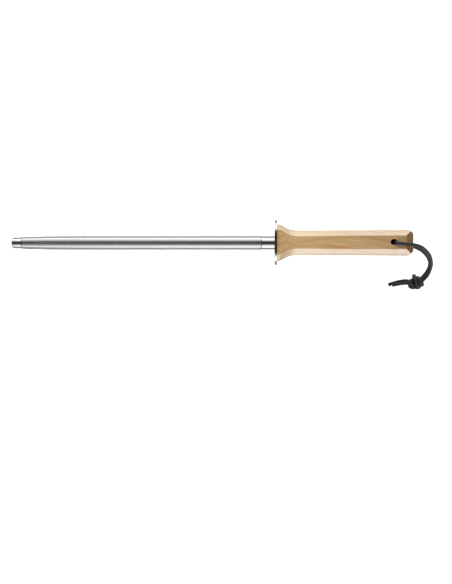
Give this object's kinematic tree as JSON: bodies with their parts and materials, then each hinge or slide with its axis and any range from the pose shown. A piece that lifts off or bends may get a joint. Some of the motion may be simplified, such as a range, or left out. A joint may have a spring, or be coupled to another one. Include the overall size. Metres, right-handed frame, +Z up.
{
  "type": "knife sharpening steel",
  "caption": "Butcher's sharpening steel: fine-cut round rod with polished tip and collar, square guard, faceted beech handle and a knotted leather lace.",
  "frame": {"origin": "middle of the bounding box of the tool without its lace, on the table that it lies on", "axes": "+X along the tool from the rod's tip to the handle's butt, +Z up from the table, +Y across the tool to the side away from the knotted lace"},
  "size_m": [0.3991, 0.0632, 0.0427],
  "materials": {
    "rod_steel": "satin fine-cut flutes, mirror-polished tip and collar",
    "guard_steel": "polished",
    "beech": "satin clear varnish",
    "resin": "cured resin",
    "lace_leather": "waxed black leather lace"
  },
  "bodies": {
    "root": {"steel_rod": "rod_steel", "guard": "guard_steel", "handle": "beech", "tang_epoxy": "resin", "lace_loop": "lace_leather", "lace_knot": "lace_leather", "lace_tail_upper": "lace_leather", "lace_tail_lower": "lace_leather"}
  },
  "joints": []
}
